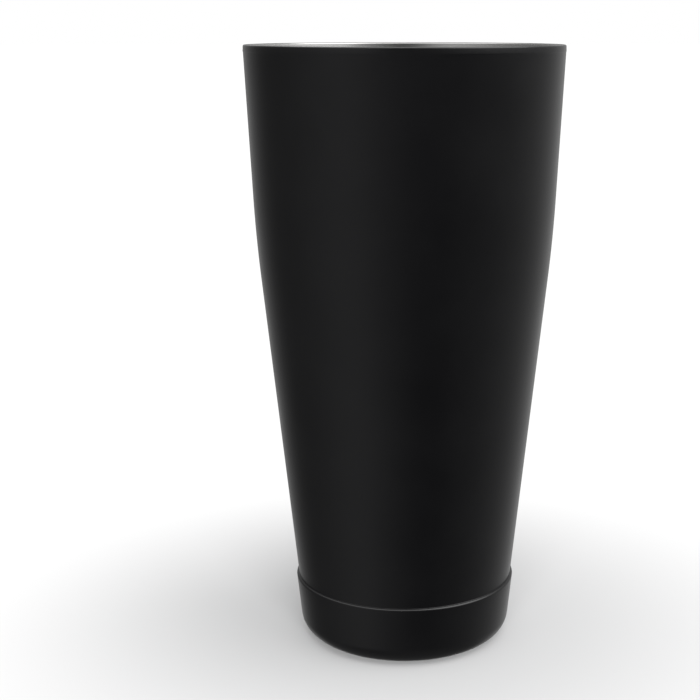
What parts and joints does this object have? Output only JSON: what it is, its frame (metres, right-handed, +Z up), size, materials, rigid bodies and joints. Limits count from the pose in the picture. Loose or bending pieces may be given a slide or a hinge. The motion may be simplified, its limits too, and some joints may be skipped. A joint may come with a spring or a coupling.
{
  "type": "weighted shaker tin",
  "caption": "Tall tapered steel cocktail shaker tin with a weighted base cup, black powder coated outside and bare steel inside.",
  "frame": {"origin": "centre of the foot ring, on the surface that the tin stands on", "axes": "+Z up the tin's axis towards the mouth; the tin is round, so X and Y are free, and one spot weld lies on +X"},
  "size_m": [0.092, 0.092, 0.1771],
  "materials": {
    "bare_steel": "satin",
    "black_coat": "satin",
    "ballast_steel": "matte",
    "epoxy": "satin"
  },
  "bodies": {
    "root": {"tin_body": "bare_steel", "base_cup": "bare_steel", "powder_coat": "black_coat", "ballast_disc": "ballast_steel", "ballast_adhesive": "epoxy", "seam_sealant": "epoxy", "spot_welds": "bare_steel"}
  },
  "joints": []
}
